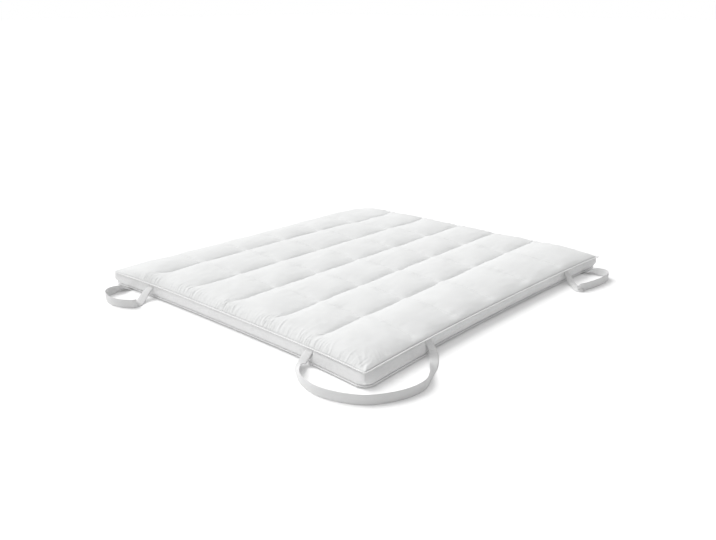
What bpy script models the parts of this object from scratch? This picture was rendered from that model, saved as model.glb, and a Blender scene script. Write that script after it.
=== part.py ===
"""Quilted mattress topper for a 180 x 200 cm bed, with an elastic strap at each corner.

Frame: X runs across the topper, Y along its length and its quilted channels, Z up. The origin is the middle of
the underside, on the surface that the topper lies on. Lengths are in metres and angles in degrees.
"""
import math

import bmesh
import bpy
from mathutils import Vector

# Driving dimensions of the case
WIDTH = 1.80
LENGTH = 2.00
EDGE_DRAW = 0.026            # how far the middle of each side is drawn in from the corners
SIDE_LEAN = 0.008            # the right side also leans in towards the far end
LEFT_LEAN = 0.030            # the left side leans in towards the far end, over its whole length
FAR_SHORT = 0.070            # the far end falls short towards the left, over its whole width
CORNER_ROUND = 0.005         # how far each corner is pulled in, along both sides
TOP_SEAM_Z = 0.070           # centre of the top piping
BOTTOM_SEAM_Z = 0.0115       # centre of the bottom piping
NEAR_CORNER_SEAM_Z = 0.0095  # the same at the near corner, where the border hangs lower
SAG_REACH = (0.34, 0.85)     # how far from the far left corner its seam and its top sink
SEAM_SAG = 0.020             # how far the top seam sinks at the far left corner
TOP_SAG = 0.026              # how far the quilted top sinks there
TOP_SAG_EDGE = 0.16          # distance from the edge at which the top has its whole sag

# Quilting
BOXES = 6                    # boxes across, and boxes along
CREST = 0.123                # height of the boxes' crowns
BOX_STEPS = (0.0, 0.05, 0.16, 0.34, 0.50, 0.66, 0.84, 0.95)   # mesh lines across one box
END_FADE = 0.16              # length over which the grooves deepen from the sewn ends
CROSS_FADE = 0.05            # the same for the cross seams, from the left and right sides
VALLEYS = {
    # seam: depth of the broad dome, its power, depth of the sewn groove, its width
    "channel": (0.0155, 2.1, 0.0090, 0.0090),
    "cross": (0.0080, 2.2, 0.0045, 0.0065),
}
SHALLOW_SHARE = 0.4          # depth of a cross seam at the left of each box, as a share of its depth at the right

# Fall of the top from its crowns to a sewn edge: a broad share with its reach, and a sharp one with its reach
SIDE_FALL = (0.031, 0.225, 0.013, 0.024)
END_FALL = (0.018, 0.070, 0.026, 0.013)
LIP_HEIGHT = 0.0055          # steep start of the cover beside the piping
LIP_REACH = 0.0022

# Sewn-on pieces
GAP = 0.0003
CORD_RADIUS = 0.0025         # piping
WALL_INSET = 0.0033          # the body's wall, inside the centre line of the piping
BORDER_THICKNESS = 0.0015
BELLY = 0.004                # how far the border bulges halfway up
STRAP_WIDTH = 0.044
STRAP_THICKNESS = 0.002

# Underside: a flat rest, raised towards the rim so that a strap passes under a corner
RIM_INSET = 0.012
RIM_DROP = 0.001             # the rim's underside, below the centre of the bottom piping
LIP_SCALE = (0.935, 0.945)   # the raised lip's inner edge, as a share of the outline
LIP_Z = 0.0045
REST_SCALE = 0.955           # the flat rest's outline, as a share of the lip's

# Seams along the channels: where each crosses the near end and the far end
CHANNEL_SEAMS = (
    # near_x, far_x
    (-0.614, -0.554),
    (-0.306, -0.284),
    (-0.006, -0.010),
    (0.302, 0.246),
    (0.583, 0.516),
)
# Seams across the channels: where each crosses the left side and the right side
CROSS_SEAMS = (
    # left_y, right_y
    (-0.645, -0.630),
    (-0.350, -0.328),
    (-0.065, -0.015),
    (0.225, 0.305),
    (0.515, 0.640),
)
# Corners of the raised lip, cut back where a strap passes under
LIP_CUTS = (
    # toward_x, toward_y, cut_along_end, cut_along_side
    (-1, -1, 0.24, 0.44),
    (1, 1, 0.44, 0.26),
    (1, -1, 0.10, 0.10),
    (-1, 1, 0.10, 0.10),
)

# The sewn end of a strap: how far down each row is, and how far off the border
SEWN_END = (
    # drop, out
    (0.0, 0.0005),
    (0.005, 0.0016),
    (0.013, 0.0068),
)

# Strap paths between their two sewn ends, a row for each section. lift is the height of the strip's lower edge,
# turn the plan direction of its width where it lies flat, and bank 0 where it is flat and 90 where it is on edge.
NEAR_STRAP = (
    # x, y, lift, turn, bank
    (0.582, -1.001, 0.040, 0, 0),
    (0.578, -1.017, 0.022, 6, 0),
    (0.580, -1.034, 0.008, 26, 10),
    (0.592, -1.054, 0.001, 42, 32),
    (0.612, -1.079, 0.0, 45, 50),
    (0.642, -1.108, 0.0, 45, 64),
    (0.686, -1.140, 0.0, 35, 80),
    (0.738, -1.160, 0.0, 20, 90),
    (0.795, -1.171, 0.0, 0, 90),
    (0.858, -1.166, 0.0, -45, 90),
    (0.935, -1.140, 0.0, -45, 90),
    (1.002, -1.099, 0.0, -45, 90),
    (1.048, -1.038, 0.0, -45, 90),
    (1.077, -0.978, 0.0, -45, 90),
    (1.092, -0.922, 0.0, -90, 90),
    (1.095, -0.875, 0.0, -90, 90),
    (1.088, -0.828, 0.0, -90, 90),
    (1.061, -0.772, 0.0, -130, 84),
    (1.021, -0.706, 0.0, -146, 56),
    (0.994, -0.662, 0.0, -148, 32),
    (0.968, -0.626, 0.0, -146, 16),
    (0.946, -0.598, 0.001, -134, 8),
    (0.932, -0.582, 0.009, -112, 3),
    (0.922, -0.573, 0.024, -95, 0),
    (0.911, -0.572, 0.041, -90, 0),
)
LEFT_STRAP = (
    # x, y, lift, turn, bank
    (-0.588, -1.004, 0.043, 10, 0),
    (-0.582, -1.026, 0.030, 28, 0),
    (-0.568, -1.052, 0.016, 40, 0),
    (-0.553, -1.076, 0.004, 42, -10),
    (-0.540, -1.094, 0.0, 42, -32),
    (-0.528, -1.109, 0.0, 42, -66),
    (-0.520, -1.122, 0.0, 60, -88),
    (-0.525, -1.135, 0.0, 90, -90),
    (-0.543, -1.150, 0.0, 90, -90),
    (-0.580, -1.173, 0.0, 90, -90),
    (-0.634, -1.186, 0.0, 90, -90),
    (-0.693, -1.178, 0.0, 90, -90),
    (-0.742, -1.158, 0.0, 180, -90),
    (-0.766, -1.132, 0.0, 180, -90),
    (-0.772, -1.095, 0.0, 180, -90),
    (-0.776, -1.055, 0.0, 180, -60),
    (-0.777, -1.025, 0.0, 180, -22),
    (-0.776, -1.000, 0.0, 180, 0),
    (-0.775, -0.950, 0.0, 180, 0),
    (-0.775, -0.840, 0.0, 180, 0),
    (-0.790, -0.768, 0.0, 203, 0),
    (-0.828, -0.713, 0.0, 226, 0),
    (-0.872, -0.678, 0.0, 255, 0),
    (-0.915, -0.664, 0.002, 270, 0),
    (-0.922, -0.661, 0.020, 270, 0),
)
RIGHT_STRAP = (
    # x, y, lift, turn, bank
    (0.903, 0.664, 0.042, 90, 0),
    (0.912, 0.664, 0.024, 78, 0),
    (0.926, 0.660, 0.008, 60, -6),
    (0.946, 0.646, 0.001, 48, -10),
    (0.968, 0.626, 0.001, 42, -8),
    (0.988, 0.607, 0.001, 40, 6),
    (1.004, 0.595, 0.001, 42, 38),
    (1.013, 0.594, 0.001, 50, 76),
    (1.023, 0.618, 0.0, 60, 90),
    (1.032, 0.655, 0.0, 60, 90),
    (1.040, 0.700, 0.0, 60, 90),
    (1.047, 0.760, 0.0, 60, 90),
    (1.046, 0.825, 0.0, -90, 90),
    (1.034, 0.872, 0.0, -90, 90),
    (1.006, 0.896, 0.0, -90, 90),
    (0.970, 0.895, 0.0, -90, 88),
    (0.940, 0.887, 0.0, -90, 62),
    (0.918, 0.881, 0.0, -90, 25),
    (0.895, 0.877, 0.0, -90, 0),
    (0.850, 0.875, 0.0, -90, 0),
    (0.760, 0.875, 0.0, -90, 0),
    (0.688, 0.880, 0.0, -113, 0),
    (0.633, 0.912, 0.0, -136, 0),
    (0.603, 0.950, 0.0, -165, 0),
    (0.591, 0.999, 0.002, -180, 0),
    (0.588, 1.006, 0.020, -180, 0),
)
FAR_STRAP = (
    # x, y, lift, turn, bank
    (-0.584, 0.946, 0.041, 180, 0),
    (-0.584, 0.962, 0.022, 180, 0),
    (-0.588, 0.980, 0.008, 195, 6),
    (-0.604, 0.996, 0.001, 215, 34),
    (-0.636, 1.014, 0.0, 225, 66),
    (-0.680, 1.034, 0.0, 240, 80),
    (-0.760, 1.048, 0.0, 264, 60),
    (-0.840, 1.046, 0.0, 278, 38),
    (-0.905, 1.022, 0.0, 305, 30),
    (-0.946, 0.978, 0.0, 334, 30),
    (-0.963, 0.910, 0.0, 353, 34),
    (-0.968, 0.830, 0.0, 362, 50),
    (-0.964, 0.740, 0.0, 370, 72),
    (-0.952, 0.660, 0.0, 390, 80),
    (-0.936, 0.614, 0.0, 396, 60),
    (-0.921, 0.586, 0.001, 408, 28),
    (-0.907, 0.572, 0.009, 432, 5),
    (-0.895, 0.567, 0.024, 446, 0),
    (-0.884, 0.567, 0.041, 450, 0),
)
# Each strap: its path, the side and the place along it of its first and last end, and the turn of each end
STRAPS = {
    "strap_near_corner": (NEAR_STRAP, ("near_end", 0.585, 0), ("right", -0.572, -90)),
    "strap_left_corner": (LEFT_STRAP, ("near_end", -0.588, 0), ("left", -0.660, 270)),
    "strap_right_corner": (RIGHT_STRAP, ("right", 0.664, 90), ("far_end", 0.588, -180)),
    "strap_far_corner": (FAR_STRAP, ("far_end", -0.585, 180), ("left", 0.567, 450)),
}
SECTIONS_PER_ROW = 2

# Colours and surfaces
LOOKS = {
    # name: colour, roughness
    "cover_fabric": ((0.86, 0.87, 0.88, 1.0), 0.9),
    "border_fabric": ((0.84, 0.85, 0.86, 1.0), 0.9),
    "piping_fabric": ((0.90, 0.90, 0.91, 1.0), 0.8),
    "strap_elastic": ((0.82, 0.83, 0.85, 1.0), 0.75),
}


def smooth(value):
    """0 up to 0, 1 from 1, and an even rise between."""
    value = min(max(value, 0.0), 1.0)
    return value * value * (3 - 2 * value)


def near_y(x):
    """Y of the near end's seam."""
    return -(LENGTH / 2 + 0.003 - EDGE_DRAW * (1 - abs(2 * x / WIDTH) ** 3))


def far_y(x):
    return -near_y(x) - FAR_SHORT * (0.5 - x / WIDTH)


def right_x(y):
    return WIDTH / 2 + 0.008 - EDGE_DRAW * (1 - abs(2 * y / LENGTH) ** 2.5) - SIDE_LEAN * y


def left_x(y):
    return -right_x(y) - SIDE_LEAN * y + LEFT_LEAN * (0.5 + y / LENGTH)


def far_left_share(x, y, reach):
    """1 at the far left corner, and an even fall to 0 at the given reach from it."""
    corner = (-WIDTH / 2 + LEFT_LEAN, LENGTH / 2 - FAR_SHORT)
    return smooth(1 - math.dist((x, y), corner) / reach)


def top_seam_z(x, y):
    return TOP_SEAM_Z - SEAM_SAG * far_left_share(x, y, SAG_REACH[0])


def between(lines, place):
    """Reads a value between the lines that it falls between."""
    low = min(int(place), len(lines) - 2)
    return lines[low] + (lines[low + 1] - lines[low]) * (place - low)


def plan_x(channel, y):
    share = (y / LENGTH) + 0.5
    seams = [near_x + (far_x - near_x) * share for near_x, far_x in CHANNEL_SEAMS]
    return between([left_x(y), *seams, right_x(y)], channel)


def plan_y(row, x):
    share = (x / WIDTH) + 0.5
    seams = [left_y + (right_y - left_y) * share for left_y, right_y in CROSS_SEAMS]
    return between([near_y(x), *seams, far_y(x)], row)


def plan(channel, row):
    """Plan position of a point of the quilting, counted in boxes from the left side and the near end."""
    x = plan_x(channel, LENGTH * (row / BOXES - 0.5))
    y = plan_y(row, x)
    x = plan_x(channel, y)
    if channel in (0, BOXES) and row in (0, BOXES):
        x -= math.copysign(CORNER_ROUND, x)
        y -= math.copysign(CORNER_ROUND, y)
    return Vector((x, y))


def valley(place, pitch, depths):
    """How far the top sinks below a box's crown, at a place counted in boxes. The outer edges have no valley."""
    if place < 0.5 or place > BOXES - 0.5:
        return 0.0
    dome_depth, dome_power, groove_depth, groove_width = depths
    dome = dome_depth * abs(2 * (place % 1) - 1) ** dome_power
    return dome + groove_depth * math.exp(-abs(place - round(place)) * pitch / groove_width)


def top_z(channel, row):
    """Height of the quilted top: grooves along the channels, lighter valleys across them, and rounded edges."""
    x, y = plan(channel, row)
    side_distance = min(x - left_x(y), right_x(y) - x)
    end_distance = min(y - near_y(x), far_y(x) - y)
    edge_distance = max(min(side_distance, end_distance), 0.0)

    groove = valley(channel, WIDTH / BOXES, VALLEYS["channel"]) * smooth(end_distance / END_FADE)
    rightness = smooth((channel % 1 - 0.2) / 0.45)
    cross = valley(row, LENGTH / BOXES, VALLEYS["cross"]) * smooth(side_distance / CROSS_FADE)
    cross *= SHALLOW_SHARE + (1 - SHALLOW_SHARE) * rightness

    broad, reach, sharp, turn = SIDE_FALL
    side = broad * max(1 - side_distance / reach, 0.0) ** 2 + sharp * math.exp(-side_distance / turn)
    side_share = side / (broad + sharp)
    broad, reach, sharp, turn = END_FALL
    end = broad * math.exp(-end_distance / reach) + sharp * math.exp(-end_distance / turn)
    end_share = end / (broad + sharp)
    fallen = 1 - (1 - side_share) * (1 - end_share)

    rise = CREST - TOP_SEAM_Z - LIP_HEIGHT
    height = CREST - rise * fallen - LIP_HEIGHT * math.exp(-edge_distance / LIP_REACH)
    height -= (groove + cross * (1 - groove / 0.03)) * (1 - fallen)
    height -= SEAM_SAG * far_left_share(x, y, SAG_REACH[0]) * fallen
    return height - TOP_SAG * far_left_share(x, y, SAG_REACH[1]) * smooth(edge_distance / TOP_SAG_EDGE)


def mesh_lines():
    return [box + step for box in range(BOXES) for step in BOX_STEPS] + [float(BOXES)]


def outline_keys():
    """The quilting coordinates round the edge, anticlockwise from the left end of the near end."""
    lines = mesh_lines()
    near = [(line, 0.0) for line in lines[:-1]]
    right = [(float(BOXES), line) for line in lines[:-1]]
    far = [(line, float(BOXES)) for line in reversed(lines[1:])]
    left = [(0.0, line) for line in reversed(lines[1:])]
    return near + right + far + left


def outline():
    """For each edge key: its plan point and the vector that offsets both its sides outward by 1."""
    keys = outline_keys()
    points = [plan(*key) for key in keys]
    found = {}
    for index, key in enumerate(keys):
        before = (points[index] - points[index - 1]).normalized()
        after = (points[(index + 1) % len(points)] - points[index]).normalized()
        first, second = Vector((before.y, -before.x)), Vector((after.y, -after.x))
        found[key] = (points[index], (first + second) / (1 + first.dot(second)))
    return found


OUTLINE = outline()


def near_corner_share(x, y):
    """1 on the border between the near corner strap's two ends, else 0."""
    on_end = smooth((x - 0.545) / 0.07) if y < -0.9 else 0.0
    on_side = smooth((-0.535 - y) / 0.07) if x > 0.8 else 0.0
    return max(on_end, on_side)


def bottom_seam_z(x, y):
    share = near_corner_share(x, y)
    return BOTTOM_SEAM_Z + (NEAR_CORNER_SEAM_Z - BOTTOM_SEAM_Z) * share


def bottom_shift(x, y):
    """How far the bottom seam stands outside the top seam: out at the near corner, tucked in elsewhere."""
    tucked = -0.008 if x > 0.8 else -0.002
    return tucked + (0.011 - tucked) * near_corner_share(x, y)


def wall_point(key, height, outward=0.0):
    """A point of the body's wall. height is 1 at the band's upper edge and 0 at its hem."""
    point, offset = OUTLINE[key]
    top = top_seam_z(*point) - CORD_RADIUS - GAP
    hem = bottom_seam_z(*point) + CORD_RADIUS + GAP
    out = -WALL_INSET + outward + bottom_shift(*point) * (1 - height) + BELLY * 4 * height * (1 - height)
    return Vector((*(point + offset * out), hem + (top - hem) * height))


def lip_point(key):
    """The raised lip's inner edge under the body, cut back at the corners."""
    point, _ = OUTLINE[key]
    place = Vector((point.x * LIP_SCALE[0], point.y * LIP_SCALE[1]))
    corner = Vector((WIDTH / 2 * LIP_SCALE[0], LENGTH / 2 * LIP_SCALE[1]))
    for toward_x, toward_y, along_end, along_side in LIP_CUTS:
        start = Vector((toward_x * (corner.x - along_end), toward_y * corner.y))
        end = Vector((toward_x * corner.x, toward_y * (corner.y - along_side)))
        run = (end - start).normalized()
        outward = Vector((run.y, -run.x)) * toward_x * toward_y
        outward = outward if outward.x * toward_x > 0 else -outward
        beyond = (place - start).dot(outward)
        if beyond > 0:
            place = place - outward * beyond
    return place


def body_rings():
    """The rings of the body below its top, as functions of an edge key."""
    def seam(height):
        return lambda key: wall_point(key, height)

    def rim_side(key):
        point = wall_point(key, 0)
        return Vector((point.x, point.y, bottom_seam_z(*OUTLINE[key][0])))

    def rim_under(key):
        point = wall_point(key, 0, -RIM_INSET)
        return Vector((point.x, point.y, bottom_seam_z(*OUTLINE[key][0]) - RIM_DROP))

    def lip(key):
        return Vector((*lip_point(key), min(LIP_Z, bottom_seam_z(*OUTLINE[key][0]) - RIM_DROP)))

    def rest(key):
        return Vector((*(lip_point(key) * REST_SCALE), 0.0))

    return [seam(1), seam(0.5), seam(0), rim_side, rim_under, lip, rest]


def extrude_ring(bm, ring, place):
    """Extrudes a ring of vertices, given as vertex to key, and puts each new one where place(key) says."""
    edges = [edge for vertex in ring for edge in vertex.link_edges if edge.other_vert(vertex) in ring]
    edges = [edge for edge in set(edges) if edge.is_boundary or edge.is_wire]
    edges.sort(key=lambda edge: edge.index)
    made = bmesh.ops.extrude_edge_only(bm, edges=edges)["geom"]
    new_ring = {}
    for vertex in (item for item in made if isinstance(item, bmesh.types.BMVert)):
        source = next(e.other_vert(vertex) for e in vertex.link_edges if e.other_vert(vertex) in ring)
        new_ring[vertex] = ring[source]
        vertex.co = place(ring[source])
    bm.edges.index_update()
    return new_ring


def material(name):
    """A Principled material in the colour and roughness of LOOKS."""
    found = bpy.data.materials.get(name)
    if found:
        return found
    colour, roughness = LOOKS[name]
    made = bpy.data.materials.new(name)
    made.use_nodes = True
    shader = made.node_tree.nodes["Principled BSDF"]
    shader.inputs["Base Color"].default_value = colour
    shader.inputs["Roughness"].default_value = roughness
    shader.inputs["Metallic"].default_value = 0.0
    made.diffuse_color = colour
    return made


def add_object(name, data, collection, look):
    data.materials.append(material(look))
    made = bpy.data.objects.new(name, data)
    collection.objects.link(made)
    return made


def mesh_from(bm, name):
    bmesh.ops.recalc_face_normals(bm, faces=bm.faces)
    mesh = bpy.data.meshes.new(name)
    bm.to_mesh(mesh)
    bm.free()
    mesh.shade_smooth()
    return mesh


def make_body(collection):
    """The filled body: a quilted top from a grid, then walls, rim and flat rest extruded from its edge."""
    lines = mesh_lines()
    cells = len(lines) - 1
    bm = bmesh.new()
    bmesh.ops.create_grid(bm, x_segments=cells, y_segments=cells, size=1.0)
    ring = {}
    for vertex in bm.verts:
        column = round((vertex.co.x + 1) / 2 * cells)
        line = round((vertex.co.y + 1) / 2 * cells)
        key = (lines[column], lines[line])
        if vertex.is_boundary:
            point, offset = OUTLINE[key]
            ring[vertex] = key
            vertex.co = Vector((*(point - offset * WALL_INSET), top_seam_z(*point) + CORD_RADIUS))
        else:
            vertex.co = Vector((*plan(*key), top_z(*key)))
    for place in body_rings():
        ring = extrude_ring(bm, ring, place)
    bmesh.ops.holes_fill(bm, edges=[edge for edge in bm.edges if edge.is_boundary], sides=0)
    bmesh.ops.triangulate(bm, faces=bm.faces, quad_method="SHORT_EDGE")
    return add_object("topper_body", mesh_from(bm, "topper_body"), collection, "cover_fabric")


def make_border(collection):
    """The border band: an open ring surface just outside the body's wall, thickened outward."""
    keys = outline_keys()
    bm = bmesh.new()
    made = bmesh.ops.create_circle(bm, segments=len(keys), radius=1.0)["verts"]
    ring = {}
    for vertex, key in zip(made, keys):
        vertex.co = wall_point(key, 1, GAP)
        ring[vertex] = key
    ring = extrude_ring(bm, ring, lambda key: wall_point(key, 0.5, GAP))
    extrude_ring(bm, ring, lambda key: wall_point(key, 0, GAP))
    bmesh.ops.triangulate(bm, faces=bm.faces, quad_method="SHORT_EDGE")
    for face in bm.faces:
        middle = face.calc_center_median()
        if face.normal.dot(Vector((middle.x, middle.y, 0))) < 0:
            face.normal_flip()
    mesh = bpy.data.meshes.new("border_band")
    bm.to_mesh(mesh)
    bm.free()
    border = add_object("border_band", mesh, collection, "border_fabric")
    thicken = border.modifiers.new("Thickness", "SOLIDIFY")
    thicken.thickness = BORDER_THICKNESS
    thicken.offset = 1.0
    thicken.use_even_offset = True
    return border


def make_piping(name, collection, centre):
    """A closed cord through centre(key)."""
    keys = outline_keys()
    curve = bpy.data.curves.new(name, "CURVE")
    curve.dimensions = "3D"
    curve.bevel_depth = CORD_RADIUS
    curve.bevel_resolution = 1
    spline = curve.splines.new("POLY")
    spline.points.add(len(keys) - 1)
    for point, key in zip(spline.points, keys):
        point.co = (*centre(key), 1.0)
    spline.use_cyclic_u = True
    return add_object(name, curve, collection, "piping_fabric")


def top_seam(key):
    point, _ = OUTLINE[key]
    return Vector((*point, top_seam_z(*point)))


def bottom_seam(key):
    point, _ = OUTLINE[key]
    place = wall_point(key, 0, WALL_INSET)
    return Vector((place.x, place.y, bottom_seam_z(*point)))


def seam_point(side, along):
    """A plan point of the top seam, at a place along one of the four sides."""
    if side == "near_end":
        return Vector((along, near_y(along)))
    if side == "far_end":
        return Vector((along, far_y(along)))
    return Vector((left_x(along) if side == "left" else right_x(along), along))


def seam_rows(side, along, turn):
    """The sewn end of a strap: rows flat against the border, from just under the piping downward."""
    point = seam_point(side, along)
    ends = [seam_point(side, along + step * STRAP_WIDTH / 2) for step in (-1, 1)]
    run = ends[1] - ends[0]
    outward = Vector((run.y, -run.x)).normalized()
    outward = outward if outward.dot(point) > 0 else -outward
    seam_turn = math.degrees(math.atan2(run.y, run.x))
    seam_turn += 180 * round((turn - seam_turn) / 180)
    top = top_seam_z(*point) - CORD_RADIUS - 2 * GAP - STRAP_THICKNESS
    face = -WALL_INSET + 2 * GAP + BORDER_THICKNESS + STRAP_THICKNESS / 2
    slope = max(0.0, *(bottom_shift(*end) for end in ends)) / TOP_SEAM_Z
    rows = []
    for drop, out in SEWN_END:
        place = point + outward * (face + out + slope * (drop + STRAP_THICKNESS))
        rows.append((place.x, place.y, top - drop, seam_turn, 0))
    return rows


def spline_value(rows, places, index, share, column):
    """Cubic through a column of the rows, with slopes from the neighbours at their true distances."""
    def slope(at):
        low, high = max(at - 1, 0), min(at + 1, len(rows) - 1)
        return (rows[high][column] - rows[low][column]) / (places[high] - places[low])

    span = places[index + 1] - places[index]
    start, end = rows[index][column], rows[index + 1][column]
    cube, square = share ** 3, share ** 2
    return (
        (2 * cube - 3 * square + 1) * start
        + (cube - 2 * square + share) * span * slope(index)
        + (3 * square - 2 * cube) * end
        + (cube - square) * span * slope(index + 1)
    )


def strap_sections(rows):
    """Finer rows between the given ones: x, y and lift on a smooth curve, turn and bank evenly."""
    places = [0.0]
    for before, after in zip(rows, rows[1:]):
        places.append(places[-1] + max(math.dist(before[:3], after[:3]), 0.001))
    found = []
    for index in range(len(rows) - 1):
        for part in range(SECTIONS_PER_ROW):
            share = part / SECTIONS_PER_ROW
            smooth_values = [spline_value(rows, places, index, share, column) for column in range(3)]
            even = [rows[index][c] + (rows[index + 1][c] - rows[index][c]) * share for c in (3, 4)]
            found.append((*smooth_values, *even))
    found.append(tuple(rows[-1]))
    return found


def strap_edges(rows):
    """The two long edges of a strap as lists of points."""
    sections = strap_sections(rows)
    widths = []
    for _, _, _, turn, bank in sections:
        turn, bank = math.radians(turn), math.radians(bank)
        flat = Vector((math.cos(turn), math.sin(turn), 0)) * math.cos(bank)
        widths.append(flat + Vector((0, 0, math.sin(bank))))
    middle = [Vector((x, y, lift)) for x, y, lift, _, _ in sections]
    for _ in range(3):
        centre = []
        for (x, y, lift, _, _), width in zip(sections, widths):
            rise = STRAP_WIDTH / 2 * abs(width.z) + STRAP_THICKNESS / 2 * math.sqrt(1 - min(width.z ** 2, 1))
            centre.append(Vector((x, y, max(lift, 0.0) + rise)))
        middle = centre
        for index, width in enumerate(widths):
            heading = middle[min(index + 1, len(middle) - 1)] - middle[max(index - 1, 0)]
            heading.normalize()
            widths[index] = (width - heading * width.dot(heading)).normalized()
    half = STRAP_WIDTH / 2
    return [(point - width * half, point + width * half) for point, width in zip(middle, widths)]


def make_strap(name, collection, rows):
    """A flat elastic strip: a two-wide grid laid along its sections, thickened both ways."""
    edges = strap_edges(rows)
    count = len(edges) - 1
    bm = bmesh.new()
    bmesh.ops.create_grid(bm, x_segments=count, y_segments=1, size=1.0)
    for vertex in bm.verts:
        section = round((vertex.co.x + 1) / 2 * count)
        vertex.co = edges[section][1 if vertex.co.y > 0 else 0]
    mesh = bpy.data.meshes.new(name)
    bm.to_mesh(mesh)
    bm.free()
    mesh.shade_smooth()
    strap = add_object(name, mesh, collection, "strap_elastic")
    thicken = strap.modifiers.new("Thickness", "SOLIDIFY")
    thicken.thickness = STRAP_THICKNESS
    thicken.offset = 0.0
    thicken.use_even_offset = True
    return strap


def make_topper():
    collection = bpy.data.collections.new("mattress_topper")
    bpy.context.scene.collection.children.link(collection)
    make_body(collection)
    make_border(collection)
    make_piping("top_piping", collection, top_seam)
    make_piping("bottom_piping", collection, bottom_seam)
    for name, (path, start, end) in STRAPS.items():
        rows = seam_rows(*start) + list(path) + list(reversed(seam_rows(*end)))
        make_strap(name, collection, rows)


for old in list(bpy.data.objects):
    bpy.data.objects.remove(old, do_unlink=True)
make_topper()
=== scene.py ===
"""Looks of the quilted mattress topper: filled body, border band, piping and elastic corner straps.

Everything is in metres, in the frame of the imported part. X runs across the topper, Y along its channels and
Z up. The near end is the one at -Y, and the left side the one at -X.
"""

import math

import bpy
import numpy as np
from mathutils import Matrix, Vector


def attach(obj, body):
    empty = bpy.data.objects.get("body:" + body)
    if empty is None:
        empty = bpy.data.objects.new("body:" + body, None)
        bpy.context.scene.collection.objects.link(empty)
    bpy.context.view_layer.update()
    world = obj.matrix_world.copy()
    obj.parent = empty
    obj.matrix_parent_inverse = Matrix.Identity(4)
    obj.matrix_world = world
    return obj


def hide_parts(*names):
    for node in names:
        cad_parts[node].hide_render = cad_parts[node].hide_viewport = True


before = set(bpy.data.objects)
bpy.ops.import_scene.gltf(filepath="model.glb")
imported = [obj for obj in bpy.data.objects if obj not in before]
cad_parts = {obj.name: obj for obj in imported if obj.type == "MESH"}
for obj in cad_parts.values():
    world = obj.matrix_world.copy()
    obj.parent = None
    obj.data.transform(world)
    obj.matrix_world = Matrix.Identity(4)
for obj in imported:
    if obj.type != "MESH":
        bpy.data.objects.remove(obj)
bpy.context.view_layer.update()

# The topper's plan
WIDTH = 1.80
LENGTH = 2.00
EDGE_DRAW = 0.026  # how far the middle of each side is drawn in from the corners
END_OUT = 0.003  # how far the corners stand out past the length
SIDE_OUT = 0.008  # how far they stand out past the width
END_BOW = 3  # powers of the drawn-in curves: a higher one is flatter in the middle
SIDE_BOW = 2.5
SIDE_LEAN = 0.008  # the right side also leans in towards the far end
LEFT_LEAN = 0.030  # the left side leans in towards the far end, over its whole length
FAR_SHORT = 0.070  # the far end falls short towards the left, over its whole width
CORNER_ROUND = 0.005  # how far each corner is pulled in, along both sides
CORNER_ROUND_REACH = 0.1  # how far from the corner that starts, in boxes

# Its heights
TOP_SEAM_Z = 0.070  # centre of the top piping
BOTTOM_SEAM_Z = 0.0115  # centre of the bottom piping
NEAR_CORNER_SEAM_Z = 0.0095  # the same at the near corner, where the border hangs lower
CREST = 0.123  # height of the channels' crowns
SAG_REACH = (0.34, 0.85)  # how far from the far left corner its seam and its top sink
SEAM_SAG = 0.020  # how far the top seam sinks at the far left corner
TOP_SAG = 0.026  # how far the quilted top sinks there
TOP_SAG_EDGE = 0.16  # distance from the edge at which the top has its whole sag

# Border, piping and straps
GAP = 0.0003  # clearance between two pieces
WALL_INSET = 0.0033  # the body's wall, inside the centre line of the piping
BORDER_THICKNESS = 0.0015
BORDER_OUT = 0.0008  # how far the border's inner face is off the body's wall
BELLY = 0.004  # how far the border bulges halfway up
CORD_RADIUS = 0.0025
CORD_OUT = 0.0028  # how far the top cord stands out of its seam
CORD_LIFT = 0.0010  # how far it stands above its seam
FLANGE_REACH = 0.0062  # how far its cover reaches in from the cord's centre, into the seam
HEM_CORD_OUT = 0.0018  # how far the bottom cord stands out of its seam
STRAP_WIDTH = 0.044
STRAP_THICKNESS = 0.002

# Corners of the hem, and the loop of the top cord at the far right corner
HEM_ROUND = 0.040  # half the arc over which a corner of the hem is rounded
HEM_ROUND_SAMPLES = 41
HEM_ROUND_RISE = 0.42  # share of the border's height up to which it is rounded
HEM_ROUND_RAMP = (0.0006, 0.003)  # shift at which the rounding starts, and over which it comes in
CORNER_SHIFT = 0.012  # shift at which a point counts as fully in a corner
CORNER_STAND = 0.004  # how far the hem stands out at the corners, against the middle of a side
EAR_CORNER = (0.893, 0.998)
EAR_OUT = 0.009  # how far the cord's loop stands out at that corner
EAR_REACH = 0.014

# The hem, which hangs lower and further out at the near corner and is tucked in elsewhere
END_STRIP_Y = -0.9  # the near end is nearer than this
SIDE_STRIP_X = 0.8  # the right side is further right than this
HANG_START = (0.545, -0.535)  # where it begins: x along the near end and y along the right side
HANG_RAMP = 0.07
HEM_HANG = 0.011  # how far the hem stands out: at the near corner, on the right side and elsewhere
HEM_TUCK_RIGHT = -0.008
HEM_TUCK = -0.002

# The underside: a rim, a raised lip inside it and the flat rest
RIM_INSET = 0.012
RIM_DROP = 0.001  # the rim's underside, below the centre of the bottom piping
LIP_SCALE = (0.935, 0.945)  # the raised lip's inner edge, as a share of the outline
LIP_Z = 0.0045
REST_SCALES = (0.955, 0.7, 0.35)  # rings of the flat rest, as shares of the lip's
WALL_HEIGHTS = (1.0, 0.75, 0.5, 0.25, 0.0)  # rings of the wall, as shares of the border's height

BOXES = 6  # boxes across, and boxes along

CHANNEL_SEAMS = (
    # near_x, far_x
    (-0.614, -0.554),
    (-0.306, -0.284),
    (-0.006, -0.010),
    (0.302, 0.246),
    (0.583, 0.516),
)
CROSS_SEAMS = (
    # left_y, right_y
    (-0.645, -0.630),
    (-0.350, -0.328),
    (-0.065, -0.015),
    (0.225, 0.305),
    (0.515, 0.640),
)

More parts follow.
